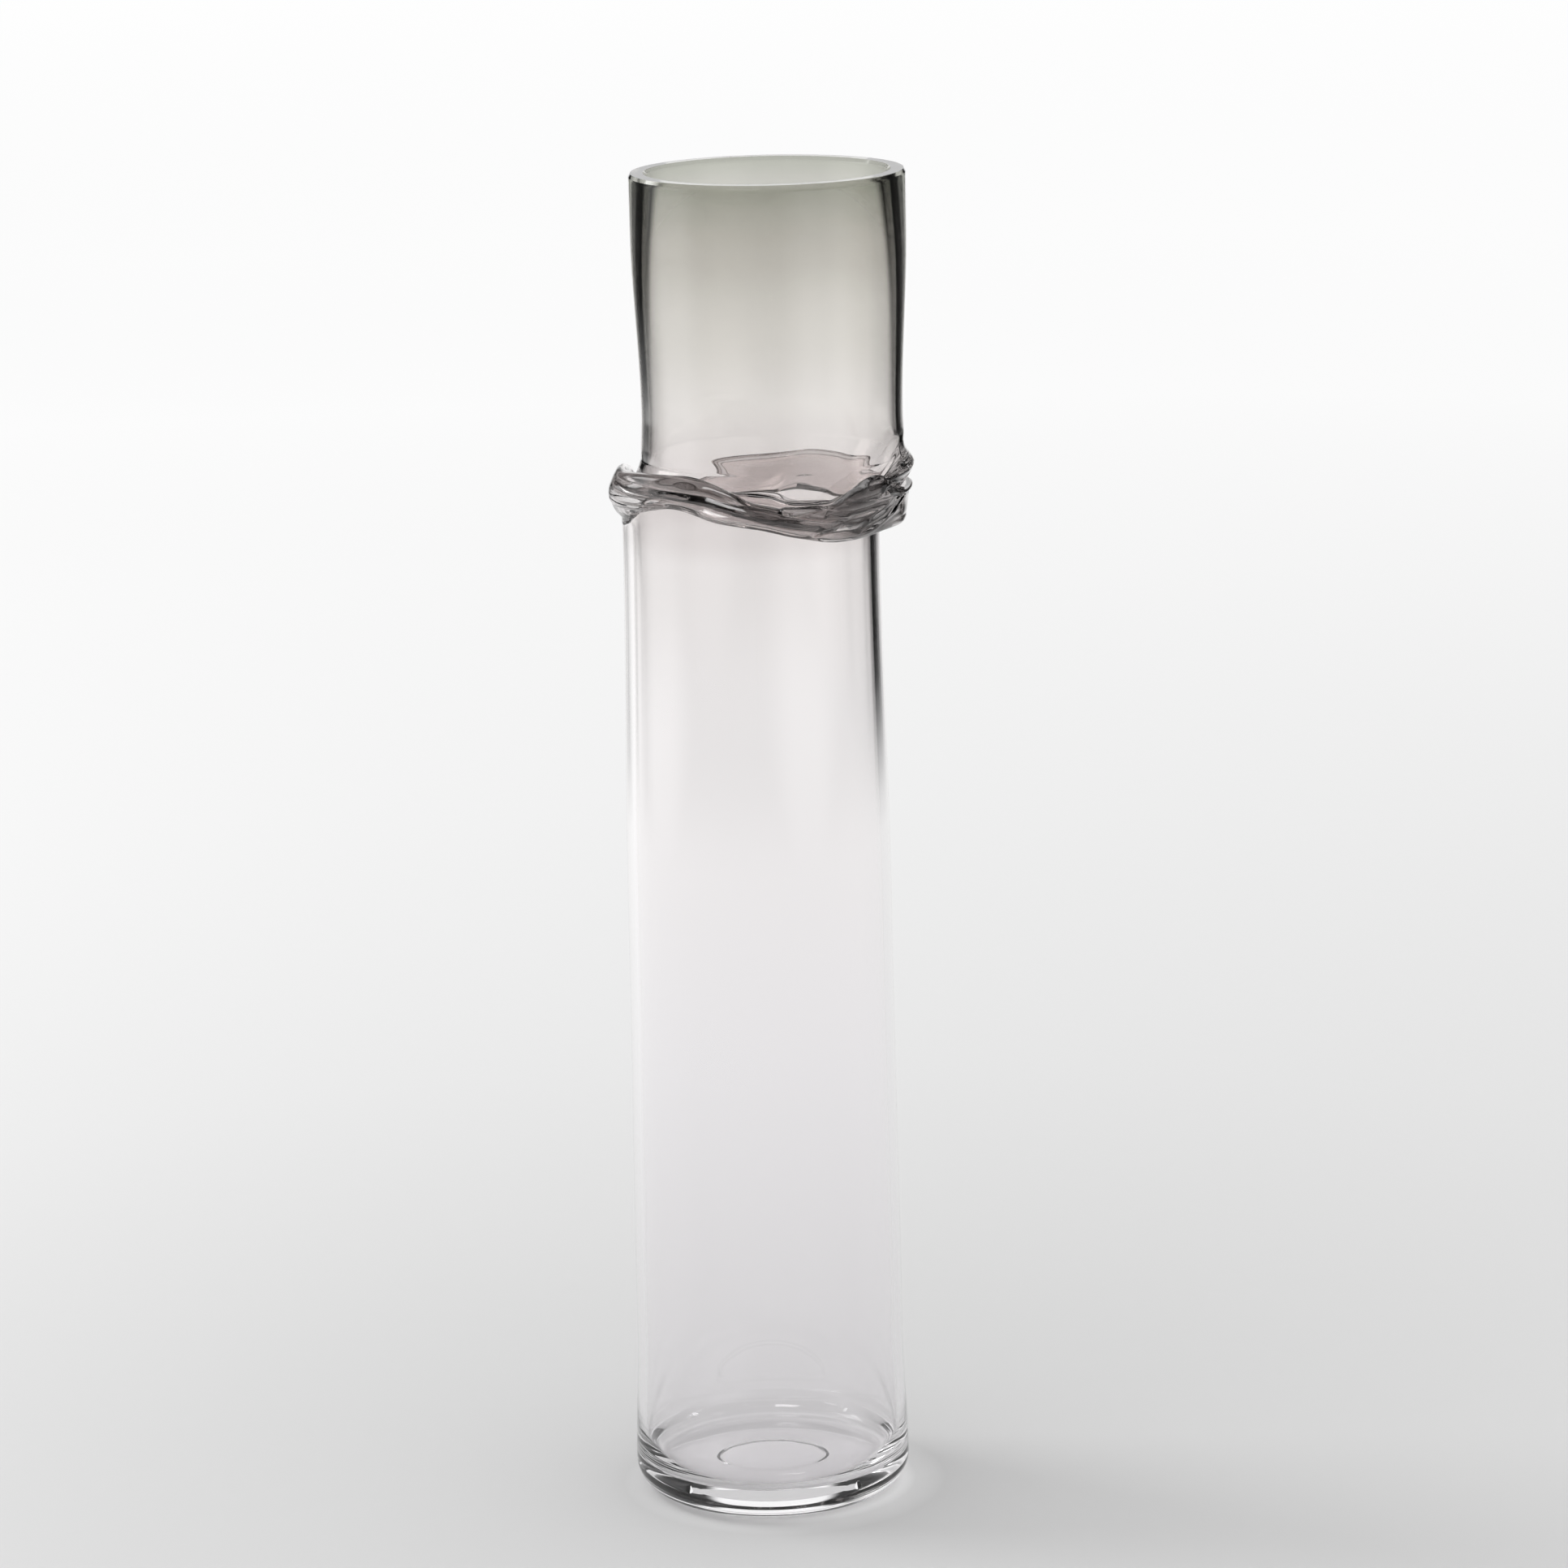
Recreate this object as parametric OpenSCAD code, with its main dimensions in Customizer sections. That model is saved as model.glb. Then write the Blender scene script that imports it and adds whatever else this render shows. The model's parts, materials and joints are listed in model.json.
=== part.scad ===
// Hand-blown glass cylinder vase with a folded collar.
// Origin: on the table plane, midway between the axes of the lower and the upper tube.
// +Z is up, -Y is the front, where the collar's broad band lies.

/* [Overall] */
// Height from the table to the cut rim
vase_h = 508; // [440:1:640]
// Height of the middle of the folded collar
collar_z = 391; // [320:1:410]
// Sideways step from the lower tube's axis to the upper tube's axis
tube_step = 8.8; // [0:0.2:12]

/* [Lower tube and foot] */
// Outside diameter of the lower tube at half its height
lower_d = 100; // [80:1:125]
// Wall of the lower tube
lower_wall = 3.6; // [2.5:0.1:6]
// How far the heel stands out past the lower tube's radius
heel_flare = 2.7; // [0:0.1:4]
// Narrowing of the lower tube's radius just under the collar
neck_in = 2; // [0:0.1:3]
// Radius of the rounded heel
heel_r = 11; // [6:0.5:14]
// Thickness of the solid glass in the foot
floor_t = 11.5; // [9:0.5:18]
// Height of the cove that turns the inside from the floor into the wall
cove_h = 20; // [10:1:50]
// Width of that cove
cove_w = 10; // [4:0.5:16]
// Radius of the ground hollow under the foot
punty_r = 22; // [12:0.5:30]
// Depth of the ground hollow under the foot
punty_deep = 2.6; // [1:0.1:5]

/* [Upper tube] */
// Outside diameter of the upper tube at the rim
rim_d = 102.2; // [80:1:125]
// Wall at the cut rim
rim_wall = 6.2; // [4:0.1:8]
// Wall of the upper tube above the collar
upper_wall = 2.8; // [2.5:0.1:5]
// Outside diameter of the upper tube's waist, above the collar
waist_d = 97.4; // [78:1:120]
// Height of the waist above the middle of the collar
waist_above = 27; // [20:1:40]
// How far the hem at the collar stands out past the waist's radius
hem_flare = 0.6; // [0:0.1:3]
// Length of straight tube under the rim
rim_straight = 22; // [5:1:50]
// Width of the polished bevel on the rim's edges
rim_bevel = 0.6; // [0.2:0.1:1]

/* [Collar folds] */
// Height of the collar's core, from the lower tube's top to the upper tube's hem
core_h = 22; // [18:1:30]
// How far the left loop stands out from the core
left_bulge = 9; // [4:0.2:12]
// How far the front folds stand out from the core
front_bulge = 5.6; // [3:0.2:8]
// How far the back fold stands out from the core
back_bulge = 4.4; // [2:0.2:8]
// How far the right-hand folds stand out from the core
right_bulge = 8.2; // [4:0.2:11]

/* [Hidden] */
$fn = 96;

lower_x = -tube_step / 2;
upper_x = tube_step / 2;
lower_r = lower_d / 2;
foot_r = lower_r + heel_flare;
neck_r = lower_r - neck_in;
waist_r = waist_d / 2;
rim_r = rim_d / 2;
core_low = collar_z - core_h / 2;
core_high = collar_z + core_h / 2;
hem_r = waist_r + hem_flare;
foot_top = floor_t;
facet_turn = 5;
core_turns = 360 / facet_turn;
// A polygon round a circle touches it from outside at the middle of each side
outside_fit = 1 / cos(facet_turn / 2);

clear_glass = [0.88, 0.87, 0.89];
fold_glass = [0.62, 0.59, 0.59];
smoke_glass = [0.62, 0.62, 0.58];

// ---- Curves through named stations ----

function ease(t) = t * t * (3 - 2 * t);
// Value at a on a smooth curve through stations [[place, value], ...]
function along(stations, a, i = 0) =
    a <= stations[0][0] ? stations[0][1]
    : i >= len(stations) - 1 ? stations[len(stations) - 1][1]
    : a > stations[i + 1][0] ? along(stations, a, i + 1)
    : stations[i][1] + (stations[i + 1][1] - stations[i][1])
        * ease((a - stations[i][0]) / (stations[i + 1][0] - stations[i][0]));
function steps(from, to, n) = [for (i = [0:n]) from + (to - from) * i / n];

// ---- Tubes and foot, as surfaces of revolution ----

// Outside radius of the lower tube at height z: the heel's arc, then a slow taper to the neck
ankle_z = 58;
ankle_out = 1.2;
middle_z = 0.6 * core_low;
function lower_outer(z) =
    z < heel_r ? foot_r - heel_r + sqrt(pow(heel_r, 2) - pow(heel_r - z, 2))
    : along([[heel_r, foot_r], [ankle_z, lower_r + ankle_out], [middle_z, lower_r], [core_low, neck_r]], z);
function lower_inner(z) = lower_outer(z) - lower_wall;

module revolved(x, outline) {
    translate([x, 0, 0]) rotate_extrude() polygon(outline);
}

cove_top = floor_t + cove_h;
floor_r = lower_inner(cove_top) - cove_w;

module foot() {
    heel_end = -asin(max(0, heel_r - foot_top) / heel_r);
    heel = [for (a = steps(-90, heel_end, 6)) [foot_r - heel_r + heel_r * cos(a), heel_r + heel_r * sin(a)]];
    over_heel = foot_top > heel_r ? [[lower_outer(foot_top), foot_top]] : [];
    dish = [for (r = steps(0, punty_r, 6)) [r, punty_deep * (1 - pow(r / punty_r, 2))]];
    color(clear_glass) revolved(lower_x, concat(dish, heel, over_heel, [[0, foot_top]]));
}

module lower_tube() {
    outside = [for (z = steps(foot_top, core_low, 24)) [lower_outer(z), z]];
    inside = [for (z = steps(core_low, cove_top, 20)) [lower_inner(z), z]];
    cove = [for (a = [75:-15:0]) [floor_r + cove_w * sin(a), floor_t + cove_h * (1 - cos(a))]];
    color(clear_glass) revolved(lower_x, concat(outside, inside, cove));
}

// Outside radius and wall of the upper tube at height z; the wall thickens towards the rim
waist_z = collar_z + waist_above;
function upper_outer(z) =
    along([[core_high, hem_r], [waist_z, waist_r], [vase_h - rim_straight, rim_r]], z);
function upper_wall_at(z) =
    upper_wall + (rim_wall - upper_wall) * pow(max(0, z - waist_z) / (vase_h - waist_z), 2);
function upper_inner(z) = upper_outer(z) - upper_wall_at(z);

module upper_tube() {
    top = vase_h - rim_bevel;
    outside = [for (z = steps(core_high, top, 18)) [upper_outer(z), z]];
    inside = [for (z = steps(top, core_high, 18)) [upper_inner(z), z]];
    rim = [[rim_r - rim_bevel, vase_h], [upper_inner(top) + rim_bevel, vase_h]];
    color(smoke_glass) revolved(upper_x, concat(outside, rim, inside));
}

// ---- Collar core: the wall that leans from one tube to the other ----

function core_t(z) = max(0, min(1, (z - core_low) / core_h));
function core_x(z) = lower_x + tube_step * core_t(z);
function core_r(z) = (neck_r + (hem_r - neck_r) * core_t(z)) * outside_fit;
// Point at angle a and height z, standing out from the core's outer face
function core_point(a, z, out = 0) =
    [core_x(z) + (core_r(z) + out) * cos(a), (core_r(z) + out) * sin(a), z];

// Closed solid swept through sections of equal length; it closes on itself when ring is true
module swept(sections, ring = false) {
    n = len(sections);
    m = len(sections[0]);
    last = ring ? n - 1 : n - 2;
    sides = [for (j = [0:last]) for (i = [0:m - 1])
        let (a = j * m + i, b = j * m + (i + 1) % m, c = ((j + 1) % n) * m + (i + 1) % m,
            d = ((j + 1) % n) * m + i)
        each [[a, c, b], [a, d, c]]];
    caps = ring ? [] : [[for (i = [0:m - 1]) i], [for (i = [m - 1:-1:0]) (n - 1) * m + i]];
    polyhedron([for (s = sections) each s], concat(sides, caps), convexity = 8);
}

module collar_core() {
    inner_low = lower_outer(core_low) - lower_wall;
    inner_high = upper_inner(core_high);
    function inside_point(a, x, r, z) = [x + r * cos(a), r * sin(a), z];
    color(fold_glass) swept([for (i = [0:core_turns - 1]) let (a = i * facet_turn) [
        core_point(a, core_low), core_point(a, core_high),
        inside_point(a, upper_x, inner_high, core_high), inside_point(a, lower_x, inner_low, core_low)]],
        ring = true);
}

// ---- Folds: rolls of glass that lie on the core ----

// Section at angle a: an inner side on the core and a rounded outer side.
// peak is where along its height the fold stands out furthest, from 0 to 1.
// The inner side bends where the core meets the lower tube, when it reaches that far.
fold_roundness = 0.7;
bend_margin = 0.03;
function fold_section(a, low, high, out, peak) =
    let (skew = ln(peak) / ln(0.5), margin = bend_margin * (high - low),
        bend_z = max(low + margin, min(high - margin, core_low)))
    concat([for (u = steps(0, 1, 12))
        let (z = low + (high - low) * pow((1 - cos(180 * u)) / 2, skew))
        core_point(a, z, out * pow(sin(180 * u), fold_roundness))], [core_point(a, bend_z)]);

// A fold between two angles. Its edges and its bulge are curves round the collar, with
// heights counted from the middle of the collar.
module fold(from, to, low, high, out, peak = 0.5) {
    n = round((to - from) / facet_turn);
    swept([for (a = steps(from, to, n))
        fold_section(a, collar_z + along(low, a), collar_z + along(high, a), along(out, a), peak)]);
}

// Edges shared by neighbouring folds, as [angle, height] with 270 at the front
front_top = [[195, 9], [221, 8.5], [237, 10], [248, 9], [258, 6.5], [268, 2.5], [281, -2], [298, -2.3], [320, -2]];
front_parting = [[195, -1], [229, 2.5], [255, 0], [268, -3], [281, -6], [298, -9], [320, -10]];
front_bottom = [[195, -12.5], [214, -8], [229, -3.5], [255, -6], [281, -10], [298, -14], [308, -15.5], [320, -15.5]];
right_bottom = [[-40, -15.5], [-20, -15], [0, -14.5], [20, -13], [40, -11]];
right_parting = [[-40, -4], [-20, -2], [0, -0.6], [20, 0], [40, 0]];
hook_top = [[-40, 3], [-20, 3.5], [0, 0.4], [40, 1]];
back_top = [[40, 2], [64, 2.5], [89, 0.5], [104, 0.5], [120, -1]];
back_bottom = [[40, -11], [53, -13], [66, -16.5], [76, -16.5], [89, -13.5], [104, -12.5], [120, -11]];

module front_upper_fold() {
    color(fold_glass) fold(195, 320, front_parting, front_top,
        [[195, left_bulge], [232, front_bulge + 1], [258, front_bulge], [281, front_bulge - 1.4], [320, 2]]);
}

module front_lower_fold() {
    color(fold_glass) fold(195, 320, front_bottom, front_parting,
        [[195, left_bulge - 3], [229, front_bulge - 0.6], [268, front_bulge], [298, front_bulge], [320, front_bulge]]);
}

module left_loop() {
    color(fold_glass) fold(120, 195, [[120, -11], [150, -12], [195, -12.5]], [[120, 2], [150, 7.5], [195, 9]],
        [[120, back_bulge], [150, left_bulge - 2], [180, left_bulge], [195, left_bulge]], 0.64);
}

module back_fold() {
    color(fold_glass) fold(40, 120, back_bottom, back_top,
        [[40, back_bulge - 1], [60, back_bulge], [100, back_bulge], [120, back_bulge]]);
}

module back_bead() {
    bead_top = [for (s = back_top) [s[0], s[1] + 3.4]];
    color(fold_glass) fold(40, 120, back_top, bead_top, [[40, 2], [60, 3], [100, 3], [120, 2]]);
}

module right_outer_fold() {
    color(fold_glass) fold(-40, 40, right_bottom, right_parting,
        [[-40, front_bulge], [-12, right_bulge], [12, right_bulge], [40, back_bulge - 1]]);
}

module right_hook_pleat() {
    color(fold_glass) fold(-40, 0, right_parting, hook_top, [[-40, 3.5], [-24, front_bulge - 0.6], [0, 2]]);
}

module right_upper_pleat() {
    pleat_bottom = [for (s = hook_top) [s[0], s[0] < 0 ? s[1] : max(s[1], along(right_parting, s[0]))]];
    color(smoke_glass) fold(-40, 40, pleat_bottom, [[-40, core_h / 2], [40, core_h / 2]],
        [[-40, 1.4], [-16, right_bulge - 3.6], [8, right_bulge - 3.4], [40, 1.4]], 0.6);
}

foot();
lower_tube();
collar_core();
upper_tube();
front_upper_fold();
front_lower_fold();
left_loop();
back_fold();
back_bead();
right_outer_fold();
right_hook_pleat();
right_upper_pleat();
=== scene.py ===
"""Hand-blown glass cylinder vase with a folded collar: looks, floor, light and camera."""

import json
import math

import bpy
import numpy as np
from mathutils import Matrix, Vector

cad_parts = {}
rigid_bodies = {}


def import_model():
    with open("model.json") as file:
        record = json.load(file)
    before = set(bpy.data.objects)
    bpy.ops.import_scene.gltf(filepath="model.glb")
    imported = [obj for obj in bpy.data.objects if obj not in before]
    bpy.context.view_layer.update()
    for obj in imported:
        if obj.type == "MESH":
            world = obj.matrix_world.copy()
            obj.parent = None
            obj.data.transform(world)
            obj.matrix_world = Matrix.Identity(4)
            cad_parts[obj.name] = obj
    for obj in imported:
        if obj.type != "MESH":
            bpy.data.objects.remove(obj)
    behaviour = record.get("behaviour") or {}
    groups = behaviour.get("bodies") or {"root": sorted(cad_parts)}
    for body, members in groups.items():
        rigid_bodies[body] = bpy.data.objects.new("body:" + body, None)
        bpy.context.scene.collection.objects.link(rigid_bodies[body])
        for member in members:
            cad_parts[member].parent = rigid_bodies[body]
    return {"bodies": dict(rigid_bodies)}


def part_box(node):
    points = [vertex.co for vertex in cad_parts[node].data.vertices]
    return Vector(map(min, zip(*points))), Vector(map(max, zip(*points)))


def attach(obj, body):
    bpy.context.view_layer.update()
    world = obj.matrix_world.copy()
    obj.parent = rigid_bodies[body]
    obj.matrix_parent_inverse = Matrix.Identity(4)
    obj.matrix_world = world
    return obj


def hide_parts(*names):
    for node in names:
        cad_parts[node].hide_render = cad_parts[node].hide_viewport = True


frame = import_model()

MM = 0.001
SCENE = bpy.context.scene
BODY = list(frame["bodies"])[0]
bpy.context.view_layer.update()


# ---- Places and sizes read from the frame, in millimetres ----

def span(node):
    """Lowest and highest corner of a CAD node, in millimetres."""
    low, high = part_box(node)
    return np.array(low) / MM, np.array(high) / MM


FOOT_LOW, FOOT_HIGH = span("foot")
LOWER_LOW, LOWER_HIGH = span("lower_tube")
CORE_LOW, CORE_HIGH = span("collar_core")
UPPER_LOW, UPPER_HIGH = span("upper_tube")

LOWER_X = (LOWER_LOW[0] + LOWER_HIGH[0]) / 2
UPPER_X = (UPPER_LOW[0] + UPPER_HIGH[0]) / 2
FOOT_R = (FOOT_HIGH[0] - FOOT_LOW[0]) / 2
RIM_R = (UPPER_HIGH[0] - UPPER_LOW[0]) / 2
RIM_Z = UPPER_HIGH[2]
FLOOR_Z = FOOT_HIGH[2]
COLLAR_LOW_Z = CORE_LOW[2]
COLLAR_HIGH_Z = CORE_HIGH[2]
COLLAR_Z = (COLLAR_LOW_Z + COLLAR_HIGH_Z) / 2

# Radii, walls and heights of the two tubes, the foot and the rim
HEEL_R = 11.0
ANKLE_Z = 58.0
LOWER_R = FOOT_R - 2.7
NECK_R = LOWER_R - 2.0
LOWER_WALL = 3.6
WAIST_R = 48.7
HEM_R = 49.3
WAIST_Z = COLLAR_Z + 27.0
UPPER_WALL = 2.8
RIM_WALL = 6.2
RIM_STRAIGHT = 22.0
RIM_BEVEL = 0.7
RIM_BEVEL_H = 1.3
COVE_H = 14.0
COVE_W = 6.5
PUNTY_R = 22.0
PUNTY_DEEP = 1.4
PUNTY_EDGE = 1.4
PUNTY_DOME = 0.12
FOLD_WALL = 1.8
BEND_WALL = 1.3
# Samples round the vase
TURNS = 600


# ---- Curves ----

def ease(t):
    t = np.clip(t, 0.0, 1.0)
    return t * t * (3 - 2 * t)


def along(stations, at):
    """Value at each place, eased from one station [(place, value), ...] to the next."""
    at = np.asarray(at, float)
    places = np.array([s[0] for s in stations], float)
    values = np.array([s[1] for s in stations], float)
    i = np.clip(np.searchsorted(places, at, side="right") - 1, 0, len(places) - 2)
    t = ease((at - places[i]) / (places[i + 1] - places[i]))
    return values[i] + (values[i + 1] - values[i]) * t


def round_collar(stations, angle):
    """Smooth value at each angle round the collar, through stations [(degrees, value), ...]."""
    places = np.array([s[0] for s in stations], float)
    values = np.array([s[1] for s in stations], float)
    places = np.concatenate([places[-2:] - 360.0, places, places[:3] + 360.0])
    values = np.concatenate([values[-2:], values, values[:3]])
    slopes = np.zeros_like(values)
    slopes[1:-1] = (values[2:] - values[:-2]) / (places[2:] - places[:-2])
    angle = (np.asarray(angle, float) - stations[0][0]) % 360.0 + stations[0][0]
    i = np.searchsorted(places, angle, side="right") - 1
    gap = places[i + 1] - places[i]
    t = (angle - places[i]) / gap
    start = (1 + 2 * t) * (1 - t) ** 2 * values[i] + t * (1 - t) ** 2 * gap * slopes[i]
    return start + t * t * (3 - 2 * t) * values[i + 1] + t * t * (t - 1) * gap * slopes[i + 1]


def spline_basis(controls, samples):
    """Rows of cubic B-spline weights that run from the first control point to the last."""
    knots = np.concatenate([[0.0] * 3, np.arange(controls - 2), [controls - 3.0] * 3])
    u = np.linspace(0.0, controls - 3.0, samples)
    u[-1] -= 1e-9
    basis = np.array([(knots[i] <= u) & (u < knots[i + 1]) for i in range(len(knots) - 1)], float)
    for degree in (1, 2, 3):
        lifted = []
        for i in range(len(knots) - 1 - degree):
            left = knots[i + degree] - knots[i]
            right = knots[i + degree + 1] - knots[i + 1]
            rise = (u - knots[i]) / left * basis[i] if left > 0 else 0.0
            fall = (knots[i + degree + 1] - u) / right * basis[i + 1] if right > 0 else 0.0
            lifted.append(rise + fall)
        basis = np.array([np.broadcast_to(row, u.shape) for row in lifted])
    return basis.T


# ---- Profiles of the two tubes, in millimetres ----

def lower_outer(z):
    z = np.asarray(z, float)
    heel = FOOT_R - HEEL_R + np.sqrt(np.maximum(0.0, HEEL_R ** 2 - (HEEL_R - np.minimum(z, HEEL_R)) ** 2))
    body = along([(HEEL_R, FOOT_R), (ANKLE_Z, LOWER_R + 1.2), (0.6 * COLLAR_LOW_Z, LOWER_R),
                  (COLLAR_LOW_Z, NECK_R)], z)
    return np.where(z < HEEL_R, heel, body)


def upper_outer(z):
    return along([(COLLAR_HIGH_Z, HEM_R), (WAIST_Z, WAIST_R), (RIM_Z - RIM_STRAIGHT, RIM_R)], z)


def upper_wall(z):
    climb = np.maximum(0.0, np.asarray(z, float) - WAIST_Z) / (RIM_Z - WAIST_Z)
    return UPPER_WALL + (RIM_WALL - UPPER_WALL) * climb ** 2


def collar_x(z):
    """Where the glass's axis lies at height z: it steps from one tube to the other in the collar."""
    return LOWER_X + (UPPER_X - LOWER_X) * np.clip((z - COLLAR_LOW_Z) / (COLLAR_HIGH_Z - COLLAR_LOW_Z), 0, 1)


# ---- The folded wall of the collar ----

# The wall is drawn as one line that folds over itself. Its layers still run into one another round much
# of the collar, so the mesh is closed but is not clean solid glass.

# Stations are (degrees, value); 0 is the right, 90 the back, 180 the left and 270 the front.
# Heights are counted from the collar's middle, bulges from its leaning core.
FOLD_TOP = [(0, 6.9), (20, 5.6), (38, 3.6), (48, 2.4), (57, 3.1), (70, 2.9), (80, 1.9), (92, 1.3), (104, 1.0),
            (110, 0.9), (115, 0.4), (120, -1.8), (124, -4.8), (128, -7.6), (134, -8.8), (142, -7.0),
            (152, -2.2), (165, 4.4), (180, 7.4),
            (196, 7.4), (216, 8.2), (230, 9.0), (240, 8.4), (249, 6.3), (257, 3.7), (264, 0.8), (271, -0.8),
            (279, -2.3), (290, -2.4), (299, -2.2), (306, 2.2), (315, 6.2), (325, 6.4), (342, 6.8)]
FOLD_BOTTOM = [(0, -13.0), (20, -12.2), (38, -11.0), (48, -11.6), (55, -14.4), (65, -15.6), (72, -15.7),
               (79, -13.6), (88, -12.2), (99, -12.5), (120, -12.0), (150, -12.2), (180, -11.8), (198, -11.2),
               (211, -7.0), (220, -2.6), (230, -0.9), (240, -1.4), (253, -3.9), (264, -5.6), (276, -7.6),
               (291, -11.2), (302, -13.6), (313, -13.6), (332, -12.4)]
BULGE_TOP = [(0, 5.3), (20, 4.8), (60, 5.0), (100, 5.0), (130, 5.2), (155, 7.0), (180, 8.9), (200, 8.5),
             (230, 6.6), (262, 5.6), (300, 5.6), (325, 6.0), (345, 5.8)]
BULGE_LOW = [(0, 9.3), (20, 7.6), (60, 5.0), (100, 5.0), (130, 4.8), (155, 4.4), (180, 2.0), (205, 2.2),
             (230, 4.6), (262, 5.4), (300, 6.4), (325, 8.2), (345, 9.3)]
# 1 where the wall hangs over itself under the fold, 0 where it only slants outwards
HANG = [(0, 1.0), (40, 1.0), (75, 1.0), (120, 1.0), (140, 0.1), (152, 0.0), (180, 0.0), (200, 0.1),
        (222, 1.0), (260, 1.0), (320, 1.0)]
# 1 where the wall is rolled over and doubled back inside, 0 where it flares straight into the tube
ROLL = [(0, 0.0), (14, 0.0), (26, 0.3), (38, 1.0), (60, 1.0), (200, 1.0), (312, 1.0), (324, 0.8),
        (334, 0.2), (344, 0.0)]
NOTCH_Z = COLLAR_Z - 0.1
NOTCH_DEEP = 2.4
# How far the doubled wall reaches down inside: this far, or this share of the fold's height if less
REACH = 9.3
REACH_SHARE = 0.62
# The parting between the upper and the lower roll of the front band
PARTING = [(180, 1.0), (216, 1.6), (232, 1.2), (246, -0.2), (254, -2.2), (264, -4.6), (277, -7.6),
           (290, -10.0), (302, -11.5), (330, -10.0)]
# 1 where the front band's groove and strands are at their full height
BAND = [(0, 0.0), (60, 0.0), (178, 0.0), (192, 0.2), (214, 1.0), (250, 1.0), (300, 1.0), (322, 0.6),
        (345, 0.0)]
# Half the wall's thickness along the path, as (share, half)
HALF_WALL = [(0.0, LOWER_WALL / 2), (0.10, LOWER_WALL / 2), (0.2, FOLD_WALL / 2), (0.5, FOLD_WALL / 2),
             (0.57, BEND_WALL / 2), (0.64, FOLD_WALL / 2), (0.75, BEND_WALL / 2), (0.84, FOLD_WALL / 2),
             (0.95, UPPER_WALL / 2), (1.0, UPPER_WALL / 2)]
# The path runs between these heights, in this many samples. The glass is cut into pieces at these shares of
# it, and each piece stops short of the next by this part of one sample.
PATH_LOW_Z = 362.0
PATH_HIGH_Z = 416.0
PATH_SAMPLES = 260
LOWER_CUT = 0.13
UPPER_CUT = 0.755
CUT_GAP = 0.12
# Slow and quick waver of the hand-made fold in millimetres, and the part of it that the lip takes
WAVER = 0.30
SMALL_WAVER = 0.18
LIP_WAVER = 0.8

# Relief on the outside of the fold, in millimetres: the groove at the parting, the strands along the
# front band, the pleats and the lip. The shares say where along the path each of them stands.
GROOVE_DEEP = 1.3
GROOVE_WIDE = 1.5
STRAND_GAP = 3.7
STRAND_HIGH = 0.85
STRAND_TURN = 0.7
BAND_SHARE = [(0.0, 0.0), (0.30, 0.0), (0.36, 1.0), (0.50, 1.0), (0.55, 0.0), (1.0, 0.0)]
PLEAT_SHARE = [(0.0, 0.0), (0.30, 0.0), (0.35, 1.0), (0.56, 1.0), (0.62, 0.0), (1.0, 0.0)]
PLEAT_HIGH = 1.0
PLEAT_WIDE = 1.15
# The thicker lip along the top of the back flap
BEAD = [(0, 0.0), (38, 0.0), (50, 1.0), (106, 1.0), (116, 0.6), (128, 0.0), (300, 0.0)]
BEAD_SHARE = [(0.0, 0.0), (0.50, 0.0), (0.57, 1.0), (0.64, 0.0), (1.0, 0.0)]
BEAD_HIGH = 1.0
# Ridges pinched into the fold at the front right, as (degrees, height from the collar's middle)
PLEATS = [
    [(279, -2.0), (293, -1.2), (301, 0.2), (306, 4.4), (315, 7.0), (321, 6.2), (322, 2.0)],
    [(311, 4.5), (308, 9.0), (310, 12.0), (320, 11.5), (332, 10.0), (346, 8.0)],
    [(349, 4.5), (342, -1.5), (332, -8.0), (321, -12.0), (309, -14.5)],
    [(297, -4.0), (304, -5.5), (309, -9.0), (315, -11.0), (325, -6.5), (338, -1.0)],
    [(291, -12.5), (297, -9.5), (304, -6.8), (312, -8.5)],
    [(322, 3.0), (331, 4.5), (342, 3.0), (352, 5.0)],
]
# One degree round the collar's outside
MM_PER_DEGREE = 0.96


def mix(a, b, t):
    return a + (b - a) * t


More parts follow.
